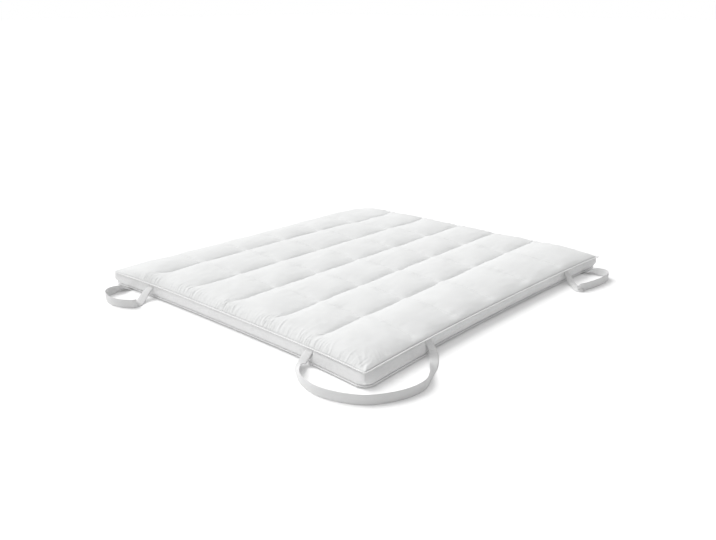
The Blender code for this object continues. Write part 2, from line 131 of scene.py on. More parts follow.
# Fall of the top from the crowns to the sewn edge, as sums of two shares: height and reach of each
SIDE_FALL = (0.031, 0.225, 0.013, 0.024)
END_FALL = (0.018, 0.070, 0.026, 0.017)
END_TURN_POWER = 1.35  # above 1, the sharp share at the ends starts round
END_RAMP = 0.02  # width of the change from a side's lip to an end's, at the corners
LIP_RISE = (0.0055, 0.0022)  # steep start of the cover beside the piping: height and reach
END_LIP_SHARE = 0.25  # share of that height at the near and far ends

# Shape of a box across the channels: a broad dome, and a narrow valley where the seam pulls
DOME_DEPTH = 0.0155
DOME_POWER = 2.1
GROOVE_DEPTH = 0.0090
GROOVE_WIDTH = 0.0090
END_FADE = 0.16  # length over which a channel's valley fades in from the near end
FAR_FADE = 0.07  # the same from the far end
CROSSING_FILL = 0.6  # share of the narrow valley that is missing where two seams cross
CROSSING_REACH = 0.020  # how far along the seam that reaches

# The same along the channels
CROSS_DOME = 0.0112
CROSS_POWER = 2.2
CROSS_DEPTH = 0.0066
CROSS_WIDTH = 0.0065
CROSS_FADE = 0.05  # width over which the cross seams fade in from the left and right sides
SHALLOW_SHARE = 0.4  # depth of a cross seam at a box's left, as a share of that at its right
DEEPENING = (0.2, 0.45)  # where in the box it begins to deepen, and over how much of the box
DEEP_GROOVE = 0.03  # depth of a channel's valley at which no cross seam would show in it

# Mesh lines in one box across, and along in the six boxes from the near end to the far end
COLUMNS = 84
ROWS = (62, 18, 18, 18, 18, 24)
CROWDING = 0.25  # how much closer the lines are at the seams, across
ROW_CROWDING = (0.45, 0.70, 0.70, 0.70, 0.70, 0.70)

SEED = 11


# ---- plan of the quilting

def smooth(value):
    """0 up to 0 and 1 from 1, with a soft turn at both."""
    value = np.clip(value, 0.0, 1.0)
    return value * value * (3 - 2 * value)


def near_y(x):
    return -(LENGTH / 2 + END_OUT - EDGE_DRAW * (1 - np.abs(2 * x / WIDTH) ** END_BOW))


def far_y(x):
    return -near_y(x) - FAR_SHORT * (0.5 - x / WIDTH)


def right_x(y):
    drawn_in = EDGE_DRAW * (1 - np.abs(2 * y / LENGTH) ** SIDE_BOW)
    return WIDTH / 2 + SIDE_OUT - drawn_in - SIDE_LEAN * y


def left_x(y):
    return -right_x(y) - SIDE_LEAN * y + LEFT_LEAN * (0.5 + y / LENGTH)


def far_left_share(x, y, reach):
    """1 at the far left corner, falling to 0 at the reach."""
    corner = (-WIDTH / 2 + LEFT_LEAN, LENGTH / 2 - FAR_SHORT)
    return smooth(1 - np.hypot(x - corner[0], y - corner[1]) / reach)


def top_seam_z(x, y):
    return TOP_SEAM_Z - SEAM_SAG * far_left_share(x, y, SAG_REACH[0])


def between(lines, place):
    """Reads a value between the lines that it falls between, for arrays of places."""
    stack = np.stack(np.broadcast_arrays(*lines, place)[:-1])
    low = np.minimum(place.astype(int), len(lines) - 2)
    start = np.take_along_axis(stack, low[None], 0)[0]
    end = np.take_along_axis(stack, low[None] + 1, 0)[0]
    return start + (end - start) * (place - low)


def plan_x(channel, y):
    share = y / LENGTH + 0.5
    seams = [near_x + (far_x - near_x) * share for near_x, far_x in CHANNEL_SEAMS]
    return between([left_x(y), *seams, right_x(y)], channel)


def plan_y(row, x):
    share = x / WIDTH + 0.5
    seams = [left_y + (right_y - left_y) * share for left_y, right_y in CROSS_SEAMS]
    return between([near_y(x), *seams, far_y(x)], row)


def plan(channel, row):
    """Plan position of points of the quilting, counted in boxes from the left side and the near end."""
    channel, row = np.broadcast_arrays(np.asarray(channel, float), np.asarray(row, float))
    x = plan_x(channel, LENGTH * (row / BOXES - 0.5))
    y = plan_y(row, x)
    x = plan_x(channel, y)
    edge_x = np.minimum(channel, BOXES - channel)
    edge_y = np.minimum(row, BOXES - row)
    pull = CORNER_ROUND * np.clip(1 - np.hypot(edge_x, edge_y) / CORNER_ROUND_REACH, 0, 1) ** 2
    return x - np.sign(x) * pull, y - np.sign(y) * pull


# ---- small relief of the cloth

def waves(x, y, count, shortest, longest, rng):
    """A smooth random relief of about -1 to 1, from plane waves of random heading."""
    total = np.zeros_like(x)
    for _ in range(count):
        heading = rng.uniform(0, 2 * math.pi)
        number = 2 * math.pi / rng.uniform(shortest, longest)
        phase = rng.uniform(0, 2 * math.pi)
        total += np.cos(number * (x * math.cos(heading) + y * math.sin(heading)) + phase)
    return total / math.sqrt(count)


# Ranges of a fold's sizes, as shares of the usual ones
FOLD_LENGTHS = (0.5, 1.5)
FOLD_BREADTHS = (0.7, 1.3)
FOLD_HEIGHTS = (0.4, 1.2)
FOLD_TROUGH = 0.35  # depth of the hollow round a fold, as a share of its height
FOLD_SIDE_CUT = 4  # a fold ends this many widths to its side
FOLD_END_CUT = 3  # and this many lengths along it
FIRST_PLACE = (0.2, 0.8)  # ranges of the first place and of the steps between places, in pitches
PLACE_STEPS = (0.55, 1.45)

# Rows of places: start, end and pitch
END_PLACES = (-0.86, 0.86, 0.0125)
SIDE_PLACES = (-0.93, 0.93, 0.030)
LOOSE_PLACES = (-0.95, 0.95, 0.045)
CROSS_PLACES = (-0.88, 0.88, 0.030)

# The folds at them: usual length, height and width, and the largest lean
END_FOLDS = (0.038, 0.0058, 0.0037, 0.25)
CLUSTER_FOLDS = (0.060, 0.0056, 0.0038, 0.35)
SIDE_FOLDS = (0.022, 0.0008, 0.006, 0.4)
TIGHT_FOLDS = (0.045, 0.0016, 0.0055, 0.45)
LOOSE_FOLDS = (0.025, 0.0007, 0.008, 0.4)
CROSS_FOLDS = (0.018, 0.0005, 0.006, 0.4)

LEAST_CHANCE = 0.40  # chance that a place is used far from a seam
CROWD_REACH = 0.11  # how far a channel seam's end crowds the places
CLUSTER_SIZE = 13  # folds in the cluster at a channel seam's end
CLUSTER_SPREAD = (0.005, 0.055)  # mean and deviation of their places from the seam
TIGHT_SIZE = 7  # folds where a cross seam meets a channel seam
TIGHT_SPREAD = 0.020
GATHER_CAP = 0.0042  # height that crowded gathers don't pass
OUT_OF_REACH = 9.0


def fold_profile(offset, trough):
    """A ridge of height 1 with a wider hollow under it. offset is counted in the ridge's widths."""
    return np.exp(-offset ** 2) - trough * np.exp(-(offset / 2) ** 2)


def folds(along, away, rng, places, length, height, width, lean):
    """Short folds that run away from a seam.

    along and away are each point's distances along the seam and from it. Each fold starts at one of the
    places and has its own length, height, width and lean.
    """
    total = np.zeros_like(along)
    for place in places:
        reach = length * rng.uniform(*FOLD_LENGTHS)
        tilt = lean * rng.uniform(-1, 1)
        breadth = width * rng.uniform(*FOLD_BREADTHS)
        size = height * rng.uniform(*FOLD_HEIGHTS)
        beside = np.abs(along - place) < FOLD_SIDE_CUT * width + lean * FOLD_END_CUT * length
        near = beside & (away < FOLD_END_CUT * reach)
        offset = (along[near] - place - tilt * away[near]) / breadth
        fade = np.exp(-(away[near] / reach) ** 2)
        total[near] += size * fade * fold_profile(offset, FOLD_TROUGH)
    return total


def fold_places(rng, start, end, pitch, keep=None):
    """Places from start to end at an uneven pitch. keep(place) is the chance that a place is used."""
    places = []
    place = start + pitch * rng.uniform(*FIRST_PLACE)
    while place < end:
        if keep is None or rng.uniform() < keep(place):
            places.append(place)
        place += pitch * rng.uniform(*PLACE_STEPS)
    return places


def near_any(values, reach):
    """A chance that is 1 near any of the values and lower between them."""
    def nearness(place):
        return max(math.exp(-((place - value) / reach) ** 2) for value in values)

    return lambda place: LEAST_CHANCE + (1 - LEAST_CHANCE) * nearness(place)


def one_side(offset, side):
    """Distances from a seam for the points on one side of it. The others are out of reach."""
    return np.where(offset * side >= 0, np.abs(offset), OUT_OF_REACH)


def end_gathers(x, y, rng):
    """Gathers that run in from the sewn near and far ends, crowded where a channel seam ends."""
    total = np.zeros_like(x)
    for end, distance in ((0, y - near_y(x)), (1, far_y(x) - y)):
        seams = [pair[end] for pair in CHANNEL_SEAMS]
        places = fold_places(rng, *END_PLACES, near_any(seams, CROWD_REACH))
        total += folds(x, distance, rng, places, *END_FOLDS)
        clusters = [seam + rng.normal(*CLUSTER_SPREAD) for seam in seams for _ in range(CLUSTER_SIZE)]
        total += folds(x, distance, rng, clusters, *CLUSTER_FOLDS)
    return total


def side_gathers(x, y, rng):
    """Shorter and softer gathers along the left and right sides."""
    total = np.zeros_like(x)
    for distance in (x - left_x(y), right_x(y) - x):
        total += folds(y, distance, rng, fold_places(rng, *SIDE_PLACES), *SIDE_FOLDS)
    return total


def seam_puckers(x, y, rng):
    """Puckers across the seams, strongest where a cross seam meets a channel seam."""
    total = np.zeros_like(x)
    for seam in range(1, BOXES):
        offset = x - plan_x(np.full_like(y, seam), y)
        crossings = [float(plan(seam, row)[1]) for row in range(1, BOXES)]
        tight = [place + rng.normal(0, TIGHT_SPREAD) for place in crossings for _ in range(TIGHT_SIZE)]
        loose = fold_places(rng, *LOOSE_PLACES)
        for side in (-1, 1):
            total += folds(y, one_side(offset, side), rng, tight, *TIGHT_FOLDS)
            total += folds(y, one_side(offset, side), rng, loose, *LOOSE_FOLDS)
    for seam in range(1, BOXES):
        offset = y - plan_y(np.full_like(x, seam), x)
        places = fold_places(rng, *CROSS_PLACES)
        for side in (-1, 1):
            total += folds(x, one_side(offset, side), rng, places, *CROSS_FOLDS)
    return total


CORNER_FOLDS = (
    # corner_x, corner_y, heading in degrees, start, length, height
    (0.905, -1.000, 101, 0.03, 0.11, 0.0032),
    (0.905, -1.000, 108, 0.04, 0.12, 0.0032),
    (0.905, -1.000, 117, 0.04, 0.12, 0.0030),
    (0.905, -1.000, 131, 0.04, 0.10, 0.0026),
    (0.905, -1.000, 149, 0.05, 0.11, 0.0030),
    (0.905, -1.000, 160, 0.05, 0.10, 0.0030),
    (0.903, -0.912, 150, 0.006, 0.095, 0.0064),
    (0.902, -0.890, 149, 0.006, 0.105, 0.0072),
    (0.901, -0.868, 151, 0.006, 0.100, 0.0066),
    (0.900, -0.845, 148, 0.006, 0.085, 0.0054),
    (0.899, -0.820, 150, 0.006, 0.055, 0.0036),
    (0.872, -1.000, 88, 0.022, 0.060, 0.0040),
    (0.860, -1.000, 92, 0.024, 0.065, 0.0046),
    (0.848, -1.000, 90, 0.022, 0.060, 0.0042),
    (0.835, -1.000, 94, 0.020, 0.050, 0.0034),
    (-0.903, -0.998, 38, 0.04, 0.12, 0.0022),
    (-0.903, -0.998, 55, 0.05, 0.12, 0.0020),
    (0.893, 0.998, 218, 0.04, 0.13, 0.0026),
    (0.893, 0.998, 236, 0.05, 0.12, 0.0024),
    (-0.870, 0.926, -38, 0.04, 0.12, 0.0026),
    (-0.870, 0.926, -54, 0.05, 0.12, 0.0022),
)


CORNER_BREADTH = 0.0048  # half width of such a fold at its corner
CORNER_SPREAD = 0.022  # how much it widens along its run
CORNER_TROUGH = 0.4  # depth of the hollow round it, as a share of its height


def corner_puckers(x, y):
    """Folds that run in from the sewn corners."""
    total = np.zeros_like(x)
    for corner_x, corner_y, heading, start, length, height in CORNER_FOLDS:
        turn = math.radians(heading)
        run = (x - corner_x) * math.cos(turn) + (y - corner_y) * math.sin(turn)
        offset = -(x - corner_x) * math.sin(turn) + (y - corner_y) * math.cos(turn)
        breadth = CORNER_BREADTH + CORNER_SPREAD * np.clip(run, 0, None)
        fade = smooth(run / start) * smooth((start + length - run) / length)
        total += height * fade * fold_profile(offset / breadth, CORNER_TROUGH)
    return total


def edge_fall(distance, fall):
    """How far the top lies below the crowns at a distance from a sewn edge."""
    broad, reach, sharp, turn = fall
    return broad * np.clip(1 - distance / reach, 0, 1) ** 2 + sharp * np.exp(-distance / turn)


def end_fall(distance):
    """The same at the near and far ends, where the top turns down over a rounder edge."""
    broad, reach, sharp, turn = END_FALL
    distance = np.clip(distance, 0, None)
    return broad * np.exp(-distance / reach) + sharp * np.exp(-(distance / turn) ** END_TURN_POWER)


def top_height(channel, row, x, y):
    """Height of the quilted top."""
    side_distance = np.minimum(x - left_x(y), right_x(y) - x)
    near_distance, far_distance = y - near_y(x), far_y(x) - y
    end_distance = np.minimum(near_distance, far_distance)
    edge = np.minimum(side_distance, end_distance)

    away = np.abs(channel - np.round(channel)) * WIDTH / BOXES
    cross_away = np.abs(row - np.round(row)) * LENGTH / BOXES
    inner_channel = (channel > 0.5) & (channel < BOXES - 0.5)
    inner_row = (row > 0.5) & (row < BOXES - 0.5)
    dome = DOME_DEPTH * np.abs(2 * (channel % 1) - 1) ** DOME_POWER
    filled = 1 - CROSSING_FILL * np.exp(-(cross_away / CROSSING_REACH) ** 2)
    sharp = GROOVE_DEPTH * np.exp(-away / GROOVE_WIDTH) * filled
    fade = smooth(near_distance / END_FADE) * smooth(far_distance / FAR_FADE)
    groove = (dome + sharp) * fade * inner_channel

    dome = CROSS_DOME * np.abs(2 * (row % 1) - 1) ** CROSS_POWER
    cross = (dome + CROSS_DEPTH * np.exp(-cross_away / CROSS_WIDTH)) * inner_row
    deep = smooth((channel % 1 - DEEPENING[0]) / DEEPENING[1])
    cross = cross * (SHALLOW_SHARE + (1 - SHALLOW_SHARE) * deep) * smooth(side_distance / CROSS_FADE)

    rise = CREST - TOP_SEAM_Z - LIP_RISE[0]
    side = edge_fall(side_distance, SIDE_FALL) / (SIDE_FALL[0] + SIDE_FALL[2])
    end = end_fall(end_distance) / (END_FALL[0] + END_FALL[2])
    fallen = 1 - (1 - side) * (1 - end)
    on_end = smooth((side_distance - end_distance) / END_RAMP + 0.5)
    lip = LIP_RISE[0] * (1 - (1 - END_LIP_SHARE) * on_end) * np.exp(-edge / LIP_RISE[1])
    height = CREST - rise * fallen - lip - LIP_RISE[0] * (1 - END_LIP_SHARE) * on_end * fallen
    height -= (groove + cross * (1 - groove / DEEP_GROOVE)) * (1 - fallen)
    height -= SEAM_SAG * far_left_share(x, y, SAG_REACH[0]) * fallen
    inside = smooth(edge / TOP_SAG_EDGE)
    return height - TOP_SAG * far_left_share(x, y, SAG_REACH[1]) * inside


BROAD_WAVES = (26, 0.16, 0.45)  # unevenness of the filling: number of waves, shortest and longest
BROAD_HEIGHT = 0.0016
FINE_WAVES = (40, 0.04, 0.10)
FINE_HEIGHT = 0.0005
SEAM_FADE = 0.03  # distances from the piping over which the puckers and folds come in
CORNER_FADE = 0.012
GATHER_FADE = 0.004


def relief(x, y):
    """Gathers, puckers and unevenness of the top, fading out at the piping."""
    rng = np.random.default_rng(SEED)
    side_distance = np.minimum(x - left_x(y), right_x(y) - x)
    edge = np.minimum(side_distance, np.minimum(y - near_y(x), far_y(x) - y))
    total = BROAD_HEIGHT * waves(x, y, *BROAD_WAVES, rng)
    total += FINE_HEIGHT * waves(x, y, *FINE_WAVES, rng)
    total += seam_puckers(x, y, rng) + side_gathers(x, y, rng)
    gathers = GATHER_CAP * np.tanh(end_gathers(x, y, rng) / GATHER_CAP)
    corners = corner_puckers(x, y) * smooth(edge / CORNER_FADE)
    return total * smooth(edge / SEAM_FADE) + corners + gathers * smooth(edge / GATHER_FADE)


# ---- meshes

def box_lines(count, crowding):
    """Places from 0 to 1 in one box, closer together at its seams."""
    even = np.arange(count) / count
    return even - crowding * np.sin(2 * math.pi * even) / (2 * math.pi)


def column_lines():
    return np.concatenate([box + box_lines(COLUMNS, CROWDING) for box in range(BOXES)] + [[BOXES]])


def row_lines():
    lines = [box + box_lines(*shape) for box, shape in enumerate(zip(ROWS, ROW_CROWDING))]
    return np.concatenate(lines + [[BOXES]])


def outline_keys():
    """Quilting coordinates round the edge, anticlockwise from the left end of the near end."""
    columns, rows = column_lines(), row_lines()
    near = [(c, 0.0) for c in columns[:-1]]
    right = [(float(BOXES), r) for r in rows[:-1]]
    far = [(c, float(BOXES)) for c in columns[:0:-1]]
    left = [(0.0, r) for r in rows[:0:-1]]
    return np.array(near + right + far + left)


def outline():
    """The edge's plan points, and for each the vector that offsets both its sides outward by 1."""
    keys = outline_keys()
    points = np.stack(plan(keys[:, 0], keys[:, 1]), axis=1)
    run = np.roll(points, -1, axis=0) - points
    run /= np.linalg.norm(run, axis=1)[:, None]
    after = np.stack([run[:, 1], -run[:, 0]], axis=1)
    before = np.roll(after, 1, axis=0)
    offset = (before + after) / (1 + (before * after).sum(axis=1))[:, None]
    return points, offset


EDGE, EDGE_OUT = outline()
EDGE_STEP = np.linalg.norm(np.roll(EDGE, -1, axis=0) - EDGE, axis=1)
EDGE_RUN = np.concatenate([[0], np.cumsum(EDGE_STEP[:-1])])
EDGE_LENGTH = float(EDGE_STEP.sum())


def soft_shift():
    """For each point of the edge, the shift from the sewn corner to a soft round one lower down."""
    window = np.linspace(-HEM_ROUND, HEM_ROUND, HEM_ROUND_SAMPLES)
    at = (EDGE_RUN[:, None] + window[None, :]) % EDGE_LENGTH
    run = np.append(EDGE_RUN, EDGE_LENGTH)
    rounded = [np.interp(at, run, np.append(EDGE[:, axis], EDGE[0, axis])).mean(axis=1) for axis in (0, 1)]
    shift = np.column_stack(rounded) - EDGE
    turn = np.linalg.norm(shift, axis=1, keepdims=True)
    return shift * smooth((turn - HEM_ROUND_RAMP[0]) / HEM_ROUND_RAMP[1])


HEM_SHIFT = soft_shift()
CORNER_SHARE = smooth(np.linalg.norm(HEM_SHIFT, axis=1) / CORNER_SHIFT)


def near_corner_share(points):
    """1 on the border between the near corner strap's two ends, else 0."""
    x, y = points[:, 0], points[:, 1]
    on_end = np.where(y < END_STRIP_Y, smooth((x - HANG_START[0]) / HANG_RAMP), 0.0)
    on_side = np.where(x > SIDE_STRIP_X, smooth((HANG_START[1] - y) / HANG_RAMP), 0.0)
    return np.maximum(on_end, on_side)


def bottom_seam_z(points):
    return BOTTOM_SEAM_Z + (NEAR_CORNER_SEAM_Z - BOTTOM_SEAM_Z) * near_corner_share(points)


def bottom_shift(points):
    """How far the hem stands out."""
    tucked = np.where(points[:, 0] > SIDE_STRIP_X, HEM_TUCK_RIGHT, HEM_TUCK)
    return tucked + (HEM_HANG - tucked) * near_corner_share(points)


def wall_ring(height, outward=0.0, relief_out=0.0):
    """A ring round the wall. height is 1 at the band's upper edge and 0 at its hem."""
    top = top_seam_z(EDGE[:, 0], EDGE[:, 1]) - CORD_RADIUS - GAP
    hem = bottom_seam_z(EDGE) + CORD_RADIUS + GAP
    belly = BELLY * 4 * height * (1 - height)
    stand = CORNER_STAND * CORNER_SHARE * (1 - near_corner_share(EDGE))
    out = -WALL_INSET + outward + (bottom_shift(EDGE) + stand) * (1 - height) + belly + relief_out
    plan_points = EDGE + EDGE_OUT * out[:, None] + HEM_SHIFT * float(smooth(1 - height / HEM_ROUND_RISE))
    return np.column_stack([plan_points, hem + (top - hem) * height])


def ring_at(points, z):
    return np.column_stack([points, np.broadcast_to(z, len(points))])


def grid_faces(grid):
    """Quads of a grid of vertex numbers, row by row."""
    corners = (grid[:-1, :-1], grid[:-1, 1:], grid[1:, 1:], grid[1:, :-1])
    return np.column_stack([corner.ravel() for corner in corners])


def add_piece(name, vertices, faces, collection):
    mesh = bpy.data.meshes.new(name)
    mesh.from_pydata([tuple(v) for v in vertices], [], [tuple(int(i) for i in f) for f in faces])
    mesh.shade_smooth()
    piece = bpy.data.objects.new(name, mesh)
    collection.objects.link(piece)
    return piece


CLOTH_GROWTH = 0.016  # how much longer the cover is than the seams that hold it
CLOTH_FRAMES = 15
CLOTH_BLUR = 50  # rounds of averaging: what is left after them counts as broad
CLOTH_SHARE = 0.27  # share of the fine movement that is kept
CLOTH_CAP = 0.003  # the furthest that it moves a point
ON_SEAM = 1e-6


def blurred(values, rounds):
    """Each grid value averaged with its neighbours, repeated."""
    for _ in range(rounds):
        for axis in (0, 1):
            padded = np.pad(values, [(1, 1) if a == axis else (0, 0) for a in range(3)], mode="edge")
            low = np.take(padded, range(0, values.shape[axis]), axis)
            high = np.take(padded, range(2, values.shape[axis] + 2), axis)
            values = 0.5 * values + 0.25 * (low + high)
    return values


def cloth_puckers(shape, channel, row, collection):
    """Fine wrinkles of the cover, from a cloth simulation of the top held along every seam.

    The cloth is slightly longer than its seams and pressed up by the filling, so it puckers along them.
    Only the fine part of its movement is kept: the broad shape stays that of the filling.
    """
    faces = grid_faces(np.arange(channel.size).reshape(channel.shape))
    cover = add_piece("cover_cloth", shape.reshape(-1, 3), faces, collection)
    sewn = cover.vertex_groups.new(name="sewn")
    on_seam = (np.abs(channel - np.round(channel)) < ON_SEAM) | (np.abs(row - np.round(row)) < ON_SEAM)
    sewn.add([int(i) for i in np.flatnonzero(on_seam.ravel())], 1.0, "REPLACE")
    cloth = cover.modifiers.new("cloth", "CLOTH")
    settings = cloth.settings
    settings.quality = 4
    settings.mass = 0.15
    settings.tension_stiffness = 10
    settings.compression_stiffness = 10
    settings.shear_stiffness = 5
    settings.bending_stiffness = 0.05
    settings.air_damping = 2
    settings.vertex_group_mass = "sewn"
    settings.use_pressure = True
    settings.uniform_pressure_force = 0.3
    settings.shrink_min = -CLOTH_GROWTH
    settings.effector_weights.gravity = 0
    cloth.collision_settings.use_collision = False
    cloth.point_cache.frame_end = CLOTH_FRAMES
    for number in range(1, CLOTH_FRAMES + 1):
        bpy.context.scene.frame_set(number)
    moved = cover.evaluated_get(bpy.context.evaluated_depsgraph_get()).to_mesh()
    places = np.zeros(len(moved.vertices) * 3)
    moved.vertices.foreach_get("co", places)
    move = places.reshape(shape.shape) - shape
    bpy.data.objects.remove(cover)
    bpy.context.scene.frame_set(1)
    fine = (move - blurred(move, CLOTH_BLUR)) * CLOTH_SHARE
    size = np.linalg.norm(fine, axis=2, keepdims=True)
    return fine * np.minimum(1, CLOTH_CAP / np.maximum(size, 1e-9))


def cover_move(shape, channel, row, collection):
    """The cloth's movement at every point: simulated on every second line across, and halfway between."""
    coarse = cloth_puckers(shape[:, ::2], channel[:, ::2], row[:, ::2], collection)
    move = np.zeros_like(shape)
    move[:, ::2] = coarse
    move[:, 1::2] = (coarse[:, :-1] + coarse[:, 1:]) / 2
    return move


def make_body(collection):
    """The filled body: quilted top, walls behind the border, and flat underside with its raised rim."""
    columns, rows = column_lines(), row_lines()
    channel, row = np.meshgrid(columns, rows)
    x, y = plan(channel, row)
    z = top_height(channel, row, x, y)
    raised = relief(x, y)
    move = cover_move(np.stack([x, y, z], axis=2), channel, row, collection)
    x, y, z = x + move[..., 0], y + move[..., 1], z + move[..., 2]
    z = z + raised
    grid = np.arange(x.size).reshape(x.shape)
    ring = np.concatenate([grid[0, :-1], grid[:-1, -1], grid[-1, :0:-1], grid[:0:-1, 0]])
    top = np.column_stack([x.ravel(), y.ravel(), z.ravel()])
    top[ring, :2] = EDGE - EDGE_OUT * (WALL_INSET + GAP)
    top[ring, 2] = top_seam_z(EDGE[:, 0], EDGE[:, 1]) + CORD_LIFT
    seam_z = bottom_seam_z(EDGE)
    under = EDGE + HEM_SHIFT + EDGE_OUT * (-WALL_INSET - RIM_INSET + bottom_shift(EDGE))[:, None]
    lip = EDGE * LIP_SCALE
    rings = [wall_ring(height) for height in WALL_HEIGHTS]
    rings.append(ring_at(wall_ring(0.0)[:, :2], seam_z))
    rings.append(ring_at(under, seam_z - RIM_DROP))
    rings.append(ring_at(lip, np.minimum(LIP_Z, seam_z - RIM_DROP)))
    rings += [ring_at(lip * share, 0.0) for share in REST_SCALES]
    numbers = x.size + np.arange(len(rings) * len(ring)).reshape(len(rings), len(ring))
    skirt = np.pad(np.vstack([ring, numbers])[::-1], ((0, 0), (0, 1)), mode="wrap")
    middle = int(numbers[-1, -1]) + 1
    faces = [*grid_faces(grid), *grid_faces(skirt)]
    faces += [(a, middle, b) for a, b in zip(numbers[-1], np.roll(numbers[-1], -1))]
    return add_piece("quilted_body", np.concatenate([top, *rings, [[0.0, 0.0, 0.0]]]), faces, collection)


def add_tube(name, rings, collection):
    """A closed loop of closed rings, all with the same number of points."""
    numbers = np.arange(len(rings) * len(rings[0])).reshape(len(rings), -1)
    faces = grid_faces(np.pad(numbers, (0, 1), mode="wrap"))
    return add_piece(name, np.concatenate(rings), faces, collection)


BORDER_RINGS = 11
CREASES = 24  # waves that add up to the creases, with the ranges of their values
CREASE_PITCH = (0.02, 0.09)
CREASE_PHASE = (0, 6.3)
CREASE_LEAN = (-0.6, 0.6)
CREASE_RUN = 0.06  # the band's height, over which a crease leans
CREASE_LIFT = (0.0006, 0.0002)  # height of the creases: added halfway up, and everywhere
CREASE_FLOOR = -0.0001  # the lowest they go, toward the body's wall


def make_border(collection):
    """The border band: a sheet round the wall with soft creases, closed by its thickness."""
    rng = np.random.default_rng(SEED + 1)
    ranges = (CREASE_PITCH, CREASE_PHASE, CREASE_LEAN)
    creases = [tuple(rng.uniform(*limits) for limits in ranges) for _ in range(CREASES)]
    outer, inner = [], []
    for height in np.linspace(1, 0, BORDER_RINGS):
        crease = sum(
            np.cos(2 * math.pi * (EDGE_RUN + lean * CREASE_RUN * height) / pitch + phase)
            for pitch, phase, lean in creases
        ) / math.sqrt(len(creases))
        lift = CREASE_LIFT[0] * crease * math.sin(math.pi * height) ** 0.5 + CREASE_LIFT[1] * crease
        lift = np.maximum(lift, CREASE_FLOOR)
        inner.append(wall_ring(height, BORDER_OUT, lift))
        outer.append(wall_ring(height, BORDER_OUT + BORDER_THICKNESS, lift))
    return add_tube("border_cloth", inner + outer[::-1], collection)


CORD_SIDES = 10


def make_piping(name, centres, flange, collection):
    """A closed cord under its cover: round outside, and reaching into the seam by the flange."""
    following = np.roll(centres, -1, axis=0) - np.roll(centres, 1, axis=0)
    following /= np.linalg.norm(following, axis=1)[:, None]
    out = np.column_stack([following[:, 1], -following[:, 0], np.zeros(len(centres))])
    out /= np.linalg.norm(out, axis=1)[:, None]
    up = np.cross(following, -out)
    rings = []
    for side in range(CORD_SIDES):
        angle = 2 * math.pi * side / CORD_SIDES
        across = math.cos(angle) * (CORD_RADIUS if math.cos(angle) > 0 else flange)
        rings.append(centres + across * out + CORD_RADIUS * math.sin(angle) * up)
    return add_tube(name, rings, collection)


def top_piping_line():
    """The cord in the top seam, with the loop that stands out at the far right corner."""
    ear = EAR_OUT * np.exp(-(np.linalg.norm(EDGE - EAR_CORNER, axis=1) / EAR_REACH) ** 2)
    height = top_seam_z(EDGE[:, 0], EDGE[:, 1]) + CORD_LIFT
    return ring_at(EDGE + EDGE_OUT * (CORD_OUT + ear)[:, None], height)


def bottom_piping_line():
    """The cord in the hem of the border."""
    return ring_at(wall_ring(0.0, WALL_INSET + HEM_CORD_OUT)[:, :2], bottom_seam_z(EDGE))


# ---- straps

# A strap touches the floor where its lift is 0. turn is the heading of its width, in degrees. bank is 0
# where the strap lies flat, and 90 or -90 where it stands on edge.
SEWN_END = (
    # drop below the seam, distance out from the border
    (0.0, 0.0005),
    (0.005, 0.0016),
    (0.013, 0.0068),
)
NEAR_STRAP = (
    # x, y, lift, turn, bank
    (0.582, -1.001, 0.040, 0, 0),
    (0.578, -1.017, 0.022, 6, 0),
    (0.580, -1.034, 0.008, 26, 12),
    (0.592, -1.054, 0.001, 42, 36),
    (0.612, -1.079, 0, 45, 60),
    (0.642, -1.108, 0, 45, 76),
    (0.686, -1.140, 0, 35, 88),
    (0.738, -1.160, 0, 20, 90),
    (0.795, -1.171, 0, 0, 90),
    (0.858, -1.166, 0, -45, 90),
    (0.935, -1.140, 0, -45, 90),
    (1.002, -1.099, 0, -45, 90),
    (1.048, -1.038, 0, -45, 90),
    (1.077, -0.978, 0, -45, 90),
    (1.092, -0.922, 0, -90, 90),
    (1.095, -0.875, 0, -90, 90),
    (1.088, -0.828, 0, -90, 90),
    (1.061, -0.772, 0, -130, 84),
    (1.021, -0.706, 0, -146, 56),
    (0.994, -0.662, 0, -148, 32),
    (0.968, -0.626, 0, -146, 16),
    (0.946, -0.598, 0.001, -134, 8),
    (0.932, -0.582, 0.009, -112, 3),
    (0.922, -0.573, 0.024, -95, 0),
    (0.911, -0.572, 0.041, -90, 0),
)
LEFT_STRAP = (
    # x, y, lift, turn, bank
    (-0.588, -1.004, 0.043, 10, 0),
    (-0.582, -1.026, 0.030, 28, 0),
    (-0.568, -1.052, 0.016, 40, 0),
    (-0.553, -1.076, 0.004, 42, -10),
    (-0.540, -1.094, 0, 42, -32),
    (-0.528, -1.109, 0, 42, -66),
    (-0.520, -1.122, 0, 60, -88),
    (-0.525, -1.135, 0, 90, -90),
    (-0.543, -1.150, 0, 90, -90),
    (-0.580, -1.173, 0, 90, -90),
    (-0.634, -1.186, 0, 90, -90),
    (-0.693, -1.178, 0, 90, -90),
    (-0.742, -1.158, 0, 180, -90),
    (-0.766, -1.132, 0, 180, -90),
    (-0.772, -1.095, 0, 180, -90),
    (-0.776, -1.055, 0, 180, -60),
    (-0.777, -1.025, 0, 180, -22),
    (-0.776, -1.000, 0, 180, 0),
    (-0.775, -0.950, 0, 180, 0),
    (-0.775, -0.840, 0, 180, 0),
    (-0.790, -0.768, 0, 203, 0),
    (-0.828, -0.713, 0, 226, 0),
    (-0.872, -0.678, 0, 255, 0),
    (-0.915, -0.664, 0.002, 270, 0),
    (-0.922, -0.661, 0.020, 270, 0),
)
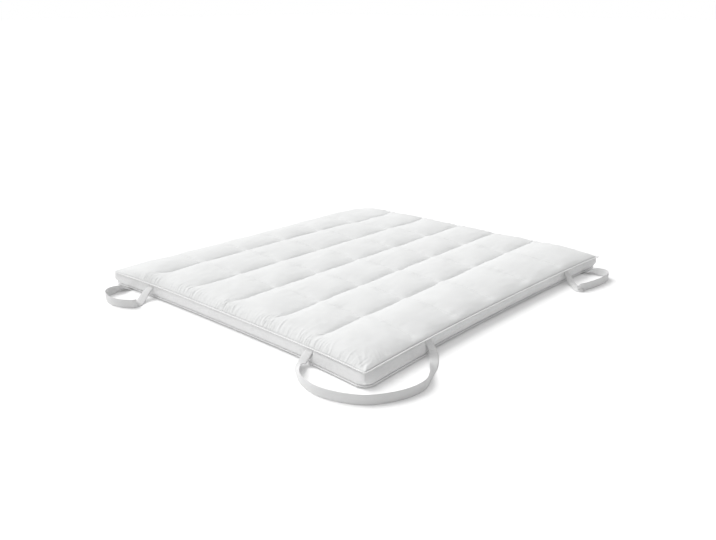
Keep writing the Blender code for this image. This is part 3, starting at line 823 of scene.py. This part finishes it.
RIGHT_STRAP = (
    # x, y, lift, turn, bank
    (0.903, 0.664, 0.042, 90, 0),
    (0.912, 0.664, 0.024, 78, 0),
    (0.926, 0.660, 0.008, 60, -6),
    (0.946, 0.646, 0.001, 48, -10),
    (0.968, 0.626, 0.001, 42, -8),
    (0.988, 0.607, 0.001, 40, 6),
    (1.004, 0.595, 0.001, 42, 38),
    (1.013, 0.594, 0.001, 50, 76),
    (1.023, 0.618, 0, 60, 90),
    (1.032, 0.655, 0, 60, 90),
    (1.040, 0.700, 0, 60, 90),
    (1.047, 0.760, 0, 60, 90),
    (1.046, 0.825, 0, -90, 90),
    (1.034, 0.872, 0, -90, 90),
    (1.006, 0.896, 0, -90, 90),
    (0.970, 0.895, 0, -90, 88),
    (0.940, 0.887, 0, -90, 62),
    (0.918, 0.881, 0, -90, 25),
    (0.895, 0.877, 0, -90, 0),
    (0.850, 0.875, 0, -90, 0),
    (0.760, 0.875, 0, -90, 0),
    (0.688, 0.880, 0, -113, 0),
    (0.633, 0.912, 0, -136, 0),
    (0.603, 0.950, 0, -165, 0),
    (0.591, 0.999, 0.002, -180, 0),
    (0.588, 1.006, 0.020, -180, 0),
)
FAR_STRAP = (
    # x, y, lift, turn, bank
    (-0.584, 0.946, 0.041, 180, 0),
    (-0.584, 0.962, 0.022, 180, 0),
    (-0.588, 0.980, 0.008, 195, 6),
    (-0.604, 0.996, 0.001, 215, 34),
    (-0.636, 1.014, 0, 225, 66),
    (-0.680, 1.034, 0, 240, 80),
    (-0.760, 1.048, 0, 264, 60),
    (-0.840, 1.046, 0, 278, 38),
    (-0.905, 1.022, 0, 305, 30),
    (-0.946, 0.978, 0, 334, 30),
    (-0.963, 0.910, 0, 353, 34),
    (-0.968, 0.830, 0, 362, 50),
    (-0.964, 0.740, 0, 370, 72),
    (-0.952, 0.660, 0, 390, 80),
    (-0.936, 0.614, 0, 396, 60),
    (-0.921, 0.586, 0.001, 408, 28),
    (-0.907, 0.572, 0.009, 432, 5),
    (-0.895, 0.567, 0.024, 446, 0),
    (-0.884, 0.567, 0.041, 450, 0),
)
STRAPS = {
    # name: path, then the side, the place along it and the turn of each sewn end
    "near_corner": (NEAR_STRAP, ("near_end", 0.585, 0), ("right", -0.572, -90)),
    "left_corner": (LEFT_STRAP, ("near_end", -0.588, 0), ("left", -0.660, 270)),
    "right_corner": (RIGHT_STRAP, ("right", 0.664, 90), ("far_end", 0.588, -180)),
    "far_corner": (FAR_STRAP, ("far_end", -0.585, 180), ("left", 0.567, 450)),
}
STEPS = 6  # sections between two rows of a path
SHORTEST_STEP = 0.001  # between two rows, for the slopes of the path's curve
SETTLING = 3  # rounds of squaring the width to the run and setting the strap on the floor
STRANDS = 8  # strips across a strap
STRAP_BULGE = 0.0003  # how far a strap's middle stands out from its edges
EDGE_SHARE = 0.35  # thickness of its edges, as a share of the whole
EDGE_POWER = 8  # a higher one keeps it thick closer to its edges


def seam_point(side, along):
    if side == "near_end":
        return Vector((along, float(near_y(along))))
    if side == "far_end":
        return Vector((along, float(far_y(along))))
    return Vector((float(left_x(along) if side == "left" else right_x(along)), along))


def seam_rows(side, along, turn):
    """The sewn end of a strap: rows flat against the border, from just under the piping downward."""
    point = seam_point(side, along)
    ends = [seam_point(side, along + step * STRAP_WIDTH / 2) for step in (-1, 1)]
    run = ends[1] - ends[0]
    outward = Vector((run.y, -run.x)).normalized()
    outward = outward if outward.dot(point) > 0 else -outward
    seam_turn = math.degrees(math.atan2(run.y, run.x))
    seam_turn += 180 * round((turn - seam_turn) / 180)
    top = float(top_seam_z(*point)) - CORD_RADIUS - 2 * GAP - STRAP_THICKNESS
    face = -WALL_INSET + 2 * GAP + BORDER_THICKNESS + STRAP_THICKNESS / 2
    shifts = [float(bottom_shift(np.array([end[:]]))[0]) for end in ends]
    slope = max(0.0, *shifts) / TOP_SEAM_Z
    rows = []
    for drop, out in SEWN_END:
        place = point + outward * (face + out + slope * (drop + STRAP_THICKNESS))
        rows.append((place.x, place.y, top - drop, seam_turn, 0))
    return rows


def spline_value(rows, places, index, share, column):
    """Cubic through a column of the rows, with slopes from the neighbours at their true distances."""
    def slope(at):
        low, high = max(at - 1, 0), min(at + 1, len(rows) - 1)
        return (rows[high][column] - rows[low][column]) / (places[high] - places[low])

    span = places[index + 1] - places[index]
    start, end = rows[index][column], rows[index + 1][column]
    cube, square = share ** 3, share ** 2
    return (
        (2 * cube - 3 * square + 1) * start
        + (cube - 2 * square + share) * span * slope(index)
        + (3 * square - 2 * cube) * end
        + (cube - square) * span * slope(index + 1)
    )


def strap_sections(rows):
    """Rows of x, y, lift, turn and bank along a strap, close together."""
    places = [0.0]
    for before, after in zip(rows, rows[1:]):
        places.append(places[-1] + max(math.dist(before[:3], after[:3]), SHORTEST_STEP))
    found = []
    for index in range(len(rows) - 1):
        for part in range(STEPS):
            share = part / STEPS
            curved = [spline_value(rows, places, index, share, column) for column in range(3)]
            even = [rows[index][c] + (rows[index + 1][c] - rows[index][c]) * share for c in (3, 4)]
            found.append((*curved, *even))
    found.append(tuple(rows[-1]))
    return np.array(found)


def strap_frames(rows):
    """Centre, width direction and face direction of each section of a strap."""
    sections = strap_sections(rows)
    turn, bank = np.radians(sections[:, 3]), np.radians(sections[:, 4])
    width = np.column_stack([np.cos(turn) * np.cos(bank), np.sin(turn) * np.cos(bank), np.sin(bank)])
    centre = sections[:, :3].copy()
    for _ in range(SETTLING):
        rise = STRAP_WIDTH / 2 * np.abs(width[:, 2])
        rise += STRAP_THICKNESS / 2 * np.sqrt(np.clip(1 - width[:, 2] ** 2, 0, 1))
        centre[:, 2] = np.maximum(sections[:, 2], 0) + rise
        heading = np.gradient(centre, axis=0)
        heading /= np.linalg.norm(heading, axis=1)[:, None]
        width -= heading * (width * heading).sum(axis=1)[:, None]
        width /= np.linalg.norm(width, axis=1)[:, None]
    return centre, width, np.cross(heading, width)


def make_strap(name, collection, rows):
    """A woven elastic: a sheet of several strips with thin, slightly rolled edges."""
    centre, width, face = strap_frames(rows)
    places = np.linspace(-1, 1, STRANDS + 1)
    profile = []
    for side in (1, -1):
        for place in places[::side]:
            edge = math.sqrt(max(1 - abs(place) ** EDGE_POWER, 0.0))
            thick = side * STRAP_THICKNESS / 2 * (EDGE_SHARE + (1 - EDGE_SHARE) * edge)
            profile.append((place * STRAP_WIDTH / 2, thick + STRAP_BULGE * (1 - place ** 2)))
    vertices = np.concatenate([centre + width * across + face * thick for across, thick in profile])
    numbers = np.arange(len(vertices)).reshape(len(profile), -1)
    faces = [*grid_faces(np.vstack([numbers, numbers[:1]])), numbers[:, 0], numbers[::-1, -1]]
    strap = add_piece("elastic_" + name, vertices, faces, collection)
    length = np.concatenate([[0], np.cumsum(np.linalg.norm(np.diff(centre, axis=0), axis=1))])
    layer = strap.data.uv_layers.new(name="strip")
    for loop in strap.data.loops:
        index, section = divmod(loop.vertex_index, len(centre))
        layer.data[loop.index].uv = (profile[index][0] / STRAP_WIDTH + 0.5, length[section])
    return strap, float(length[-1])


# ---- materials

WHITE = (1.0, 1.0, 1.0, 1)
FABRICS = {
    # name: colour, roughness, pitch and height of the weave, sheen
    "cover_cotton": ((0.845, 0.85, 0.848), 0.9, 0.0009, 0.0002, 0.06),
    "border_cotton": ((0.88, 0.88, 0.88), 0.9, 0.0011, 0.0003, 0.05),
    "piping_cotton": ((0.93, 0.93, 0.93), 0.85, 0.0009, 0.0002, 0.08),
}
FABRIC_SPECULAR = 0.25
BANDS_PER_METRE = 3.2  # of the wave texture at scale 1
THREAD = {"Distortion": 0.6, "Detail": 0.0}
FIBRE = {"Scale": 420.0, "Detail": 3.0}
CLOUD = {"Scale": 9.0, "Detail": 4.0}
CLOUD_STOPS = (0.30, 0.70)
CLOUD_DARKEST = 0.965
FIBRE_SHARE = 0.5  # height of the fibres' unevenness, as a share of the weave's
FABRIC_BUMP = 0.45
THREAD_TONE = 0.10  # how much darker the gaps between the threads are

WEBBING_COLOUR = (0.80, 0.80, 0.80)
WEBBING = {"Roughness": 0.7, "Specular IOR Level": 0.3, "Sheen Weight": 0.08}
RIBS = {"Scale": 200.0, "Distortion": 0.3}  # across the strap
RUBBER = {"Scale": 5.0, "Distortion": 0.3}  # along it
RIB_SHARE = 0.6  # height of the ribs, as a share of the rubber rows'
RIB_HEIGHT = 0.0004
WEBBING_BUMP = 0.5
WEBBING_DARKEST = 0.90


def set_inputs(node, values):
    for key, value in values.items():
        node.inputs[key].default_value = value


def new_material(name, values):
    material = bpy.data.materials.new(name)
    material.use_nodes = True
    shader = material.node_tree.nodes["Principled BSDF"]
    set_inputs(shader, values)
    return material, material.node_tree, shader


def add_node(tree, kind, inputs=None, **settings):
    """A node with its settings, and constants on its inputs by name or number."""
    node = tree.nodes.new("ShaderNode" + kind)
    for key, value in settings.items():
        setattr(node, key, value)
    set_inputs(node, inputs or {})
    return node


def texture(tree, kind, place, inputs, **settings):
    node = add_node(tree, kind, inputs, **settings)
    tree.links.new(place, node.inputs["Vector"])
    return node.outputs["Fac"]


def add_relief(tree, shader, main, fine, share, strength, distance):
    """Bump from a main pattern and a share of a finer one."""
    height = add_node(tree, "Math", {1: share}, operation="MULTIPLY_ADD")
    tree.links.new(fine, height.inputs[0])
    tree.links.new(main, height.inputs[2])
    bump = add_node(tree, "Bump", {"Strength": strength, "Distance": distance})
    tree.links.new(height.outputs[0], bump.inputs["Height"])
    tree.links.new(bump.outputs["Normal"], shader.inputs["Normal"])


def tones(tree, pattern, colour, darkest, stops=(0.0, 1.0)):
    """A colour that varies with a pattern, from a darker share of it to the whole."""
    ramp = add_node(tree, "ValToRGB")
    low, high = ramp.color_ramp.elements
    low.position, high.position = stops
    low.color = (*[c * darkest for c in colour], 1)
    high.color = (*colour, 1)
    tree.links.new(pattern, ramp.inputs["Fac"])
    return ramp.outputs["Color"]


def fabric(name, colour, roughness, weave_pitch, weave_height, sheen):
    """A woven cloth: warp and weft relief, fibre unevenness and slight variation of colour."""
    look = {"Roughness": roughness, "Specular IOR Level": FABRIC_SPECULAR, "Sheen Weight": sheen}
    material, tree, shader = new_material(name, look)
    place = add_node(tree, "TexCoord").outputs["Object"]
    thread = {"Scale": 1 / weave_pitch / BANDS_PER_METRE, **THREAD}
    warp, weft = (texture(tree, "TexWave", place, thread, bands_direction=axis) for axis in "XY")
    fibre, cloud = (texture(tree, "TexNoise", place, inputs) for inputs in (FIBRE, CLOUD))
    woven = add_node(tree, "Math", operation="MAXIMUM")
    tree.links.new(warp, woven.inputs[0])
    tree.links.new(weft, woven.inputs[1])
    add_relief(tree, shader, woven.outputs[0], fibre, FIBRE_SHARE, FABRIC_BUMP, weave_height)
    settings = {"data_type": "RGBA", "blend_type": "MULTIPLY"}
    threads = add_node(tree, "Mix", {"Factor": THREAD_TONE}, **settings)
    tree.links.new(tones(tree, cloud, colour, CLOUD_DARKEST, CLOUD_STOPS), threads.inputs["A"])
    tree.links.new(woven.outputs[0], threads.inputs["B"])
    tree.links.new(threads.outputs["Result"], shader.inputs["Base Color"])
    return material


def elastic(name, colour):
    """Ribbed elastic webbing: fine ribs across, rows of rubber along, and slight variation of colour."""
    material, tree, shader = new_material(name, WEBBING)
    place = add_node(tree, "UVMap", uv_map="strip").outputs["UV"]
    ribs = texture(tree, "TexWave", place, RIBS, bands_direction="Y")
    rows = texture(tree, "TexWave", place, RUBBER, bands_direction="X")
    add_relief(tree, shader, rows, ribs, RIB_SHARE, WEBBING_BUMP, RIB_HEIGHT)
    tree.links.new(tones(tree, rows, colour, WEBBING_DARKEST), shader.inputs["Base Color"])
    return material


def paint(piece, material):
    piece.data.materials.append(material)


# ---- stage

FLOOR_SIZE = 60.0  # half its side
FLOOR = {
    "Base Color": (0.97, 0.97, 0.97, 1),
    "Roughness": 1.0,
    "Specular IOR Level": 0.0,
    "Emission Color": WHITE,
    "Emission Strength": 0.06,  # the floor itself glows faintly: painted light that lifts its shadows
}
KEY_FROM = (-0.42, -0.05, 0.55)
KEY_STRENGTH = 1.70
KEY_SPREAD = 38  # degrees, for soft shadow edges
SKY_STRENGTH = 0.785
SKY_FALL = 0.80  # how much the sky's light drops toward +X


def make_floor(collection):
    """A plain white floor at the height that the topper lies on."""
    corners = [(x * FLOOR_SIZE, y * FLOOR_SIZE, 0) for x, y in ((-1, -1), (1, -1), (1, 1), (-1, 1))]
    floor = add_piece("floor", corners, [(0, 1, 2, 3)], collection)
    floor.data.materials.append(new_material("floor_white", FLOOR)[0])


def make_sky():
    """A white sky whose light drops toward +X. The camera sees it plain white."""
    world = bpy.data.worlds.new("studio")
    bpy.context.scene.world = world
    world.use_nodes = True
    tree = world.node_tree
    link = tree.links.new
    sky = tree.nodes["Background"]
    sky.inputs["Color"].default_value = WHITE
    direction = add_node(tree, "TexCoord")
    parts = add_node(tree, "SeparateXYZ")
    right = add_node(tree, "Math", {1: 0.0}, operation="MAXIMUM")
    weights = {1: -SKY_FALL * SKY_STRENGTH, 2: SKY_STRENGTH}
    fall = add_node(tree, "Math", weights, operation="MULTIPLY_ADD")
    link(direction.outputs["Generated"], parts.inputs[0])
    link(parts.outputs["X"], right.inputs[0])
    link(right.outputs[0], fall.inputs[0])
    link(fall.outputs[0], sky.inputs["Strength"])
    seen = add_node(tree, "Background", {"Color": WHITE})
    ray = add_node(tree, "LightPath")
    mix = add_node(tree, "MixShader")
    link(ray.outputs["Is Camera Ray"], mix.inputs["Fac"])
    link(sky.outputs[0], mix.inputs[1])
    link(seen.outputs[0], mix.inputs[2])
    link(mix.outputs[0], tree.nodes["World Output"].inputs["Surface"])


def add_aimed(name, data, direction, collection):
    aimed = bpy.data.objects.new(name, data)
    aimed.rotation_euler = direction.to_track_quat("-Z", "Y").to_euler()
    collection.objects.link(aimed)
    return aimed


def make_key(collection):
    light = bpy.data.lights.new("key", "SUN")
    light.energy = KEY_STRENGTH
    light.angle = math.radians(KEY_SPREAD)
    add_aimed("key", light, -Vector(KEY_FROM), collection)


CAMERA_PLACE = (2.7859, -3.0947, 1.4573)
CAMERA_LOOK = (-0.638, 0.699, -0.323)
CAMERA_LENS = 39.70


def make_camera(collection):
    camera = bpy.data.cameras.new("camera")
    camera.lens = CAMERA_LENS
    seat = add_aimed("camera", camera, Vector(CAMERA_LOOK), collection)
    seat.location = CAMERA_PLACE
    bpy.context.scene.camera = seat


# ---- the scene

def main():
    scene = bpy.context.scene
    scene.view_settings.view_transform = "Standard"
    pieces = bpy.data.collections.new("topper_pieces")
    stage = bpy.data.collections.new("stage")
    scene.collection.children.link(pieces)
    scene.collection.children.link(stage)

    cover, band, cord_cover = (fabric(name, *look) for name, look in FABRICS.items())
    webbing = elastic("strap_webbing", WEBBING_COLOUR)

    body = make_body(pieces)
    paint(body, cover)
    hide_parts("topper_body")
    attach(body, "root")

    border = make_border(pieces)
    paint(border, band)
    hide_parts("border_band")
    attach(border, "root")

    for name, line, flange, node in (
        ("upper_piping", top_piping_line(), FLANGE_REACH, "top_piping"),
        ("lower_piping", bottom_piping_line(), CORD_RADIUS, "bottom_piping"),
    ):
        piping = make_piping(name, line, flange, pieces)
        paint(piping, cord_cover)
        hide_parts(node)
        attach(piping, "root")

    for name, (path, start, end) in STRAPS.items():
        rows = seam_rows(*start) + list(path) + list(reversed(seam_rows(*end)))
        strap, length = make_strap(name, pieces, rows)
        paint(strap, webbing)
        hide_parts("strap_" + name)
        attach(strap, "root")

    make_floor(stage)
    make_sky()
    make_key(stage)
    make_camera(stage)


main()
